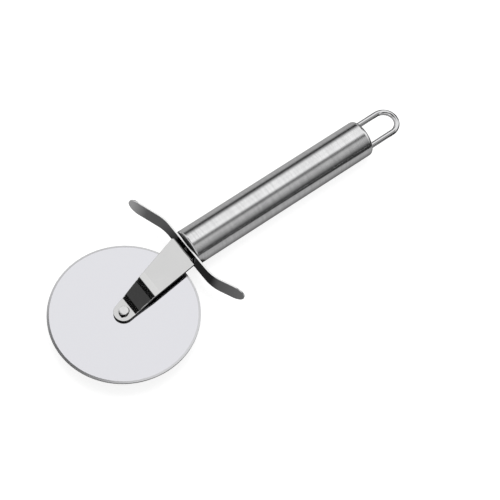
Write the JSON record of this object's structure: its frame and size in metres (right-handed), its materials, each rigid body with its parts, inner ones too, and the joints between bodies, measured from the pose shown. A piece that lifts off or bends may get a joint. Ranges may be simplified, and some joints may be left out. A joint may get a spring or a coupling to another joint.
{
  "type": "pizza cutter",
  "caption": "Pizza cutter with a plain round steel wheel riveted to a cranked arm, a bent finger guard, a tube handle and a wire hanging loop.",
  "frame": {"origin": "centre of the bounding box in X and Y, at its lowest point in Z", "axes": "+X along the handle towards the hanging loop, +Y across the handle in the wheel's plane, +Z along the axle out of the face that the arm is on"},
  "size_m": [0.1878, 0.0754, 0.017],
  "materials": {
    "wheel_steel": "polished stainless steel",
    "rivet_steel": "satin stainless steel",
    "washer_steel": "satin stainless steel",
    "arm_steel": "fine satin stainless steel",
    "guard_steel": "polished stainless steel",
    "screw_steel": "plain stainless steel",
    "plug_plastic": "black plastic",
    "nut_steel": "plain steel",
    "handle_steel": "stainless steel brushed round the tube",
    "anchor_plastic": "black plastic",
    "loop_steel": "polished stainless wire"
  },
  "bodies": {
    "handle": {"axle_rivet": "rivet_steel", "axle_washer": "washer_steel", "wheel_arm": "arm_steel", "finger_guard": "guard_steel", "fixing_screw": "screw_steel", "front_plug": "plug_plastic", "lock_nut": "nut_steel", "handle_tube": "handle_steel", "loop_anchor": "anchor_plastic", "hanging_loop": "loop_steel"},
    "wheel": {"cutting_wheel": "wheel_steel"}
  },
  "joints": [
    {"name": "wheel_spin", "type": "hinge", "parent": "handle", "child": "wheel", "pos_m": [-0.0614, -0.00525, 0.0085], "axis": [0, 0, 1], "continuous": true}
  ]
}
